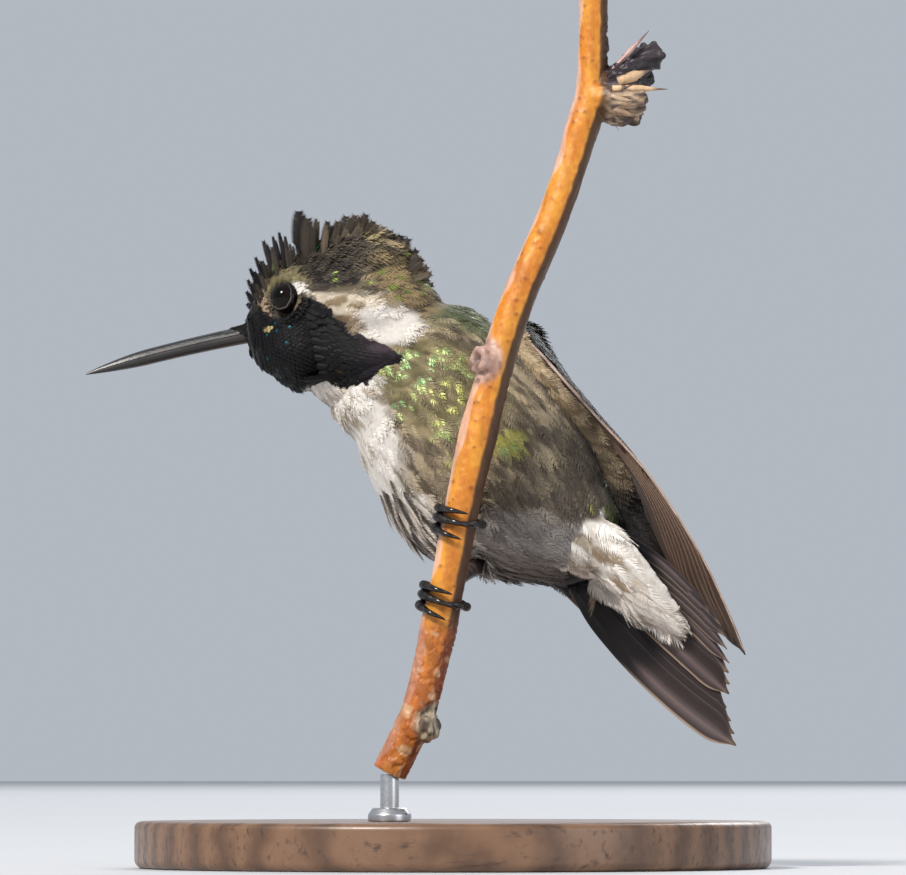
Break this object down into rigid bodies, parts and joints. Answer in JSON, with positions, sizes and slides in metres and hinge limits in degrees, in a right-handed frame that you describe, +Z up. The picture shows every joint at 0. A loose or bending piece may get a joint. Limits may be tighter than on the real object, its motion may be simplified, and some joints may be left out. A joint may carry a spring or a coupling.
{
  "type": "hummingbird",
  "caption": "Life-size hummingbird with raised crown feathers and a dark gorget, clinging to a cut twig on a rod and a round display base",
  "frame": {"origin": "centre of the stand base's underside, on the floor", "axes": "+Z is up; -Y faces the viewer of the main view; the bird's head looks along -X and its tail hangs towards +X; the bird's left side and belly face -Y"},
  "size_m": [0.0738, 0.068, 0.096],
  "materials": {
    "head_feathers": "dark gorget and crown feathers with a faint gloss",
    "body_feathers": "soft grey-brown, green-flecked and cream body feathers",
    "flight_feathers": "smooth dark brown vanes with pale shafts",
    "horn": "satin black horn and scaly black skin",
    "eye": "wet gloss black",
    "bark": "smooth ochre-orange bark with darker lenticels",
    "stand_wood": "satin dark stained wood",
    "stand_metal": "brushed steel"
  },
  "bodies": {
    "root": {"head": "head_feathers", "neck": "body_feathers", "trunk": "body_feathers", "tail": "flight_feathers", "wing_left": "flight_feathers", "wing_right": "flight_feathers", "bill_upper": "horn", "bill_lower": "horn", "eye_left": "eye", "eye_right": "eye", "leg_left": "horn", "leg_right": "horn", "foot_left": "horn", "foot_right": "horn", "perch_twig": "bark", "stand_base": "stand_wood", "stand_rod": "stand_metal", "stand_collar": "stand_metal"}
  },
  "joints": []
}
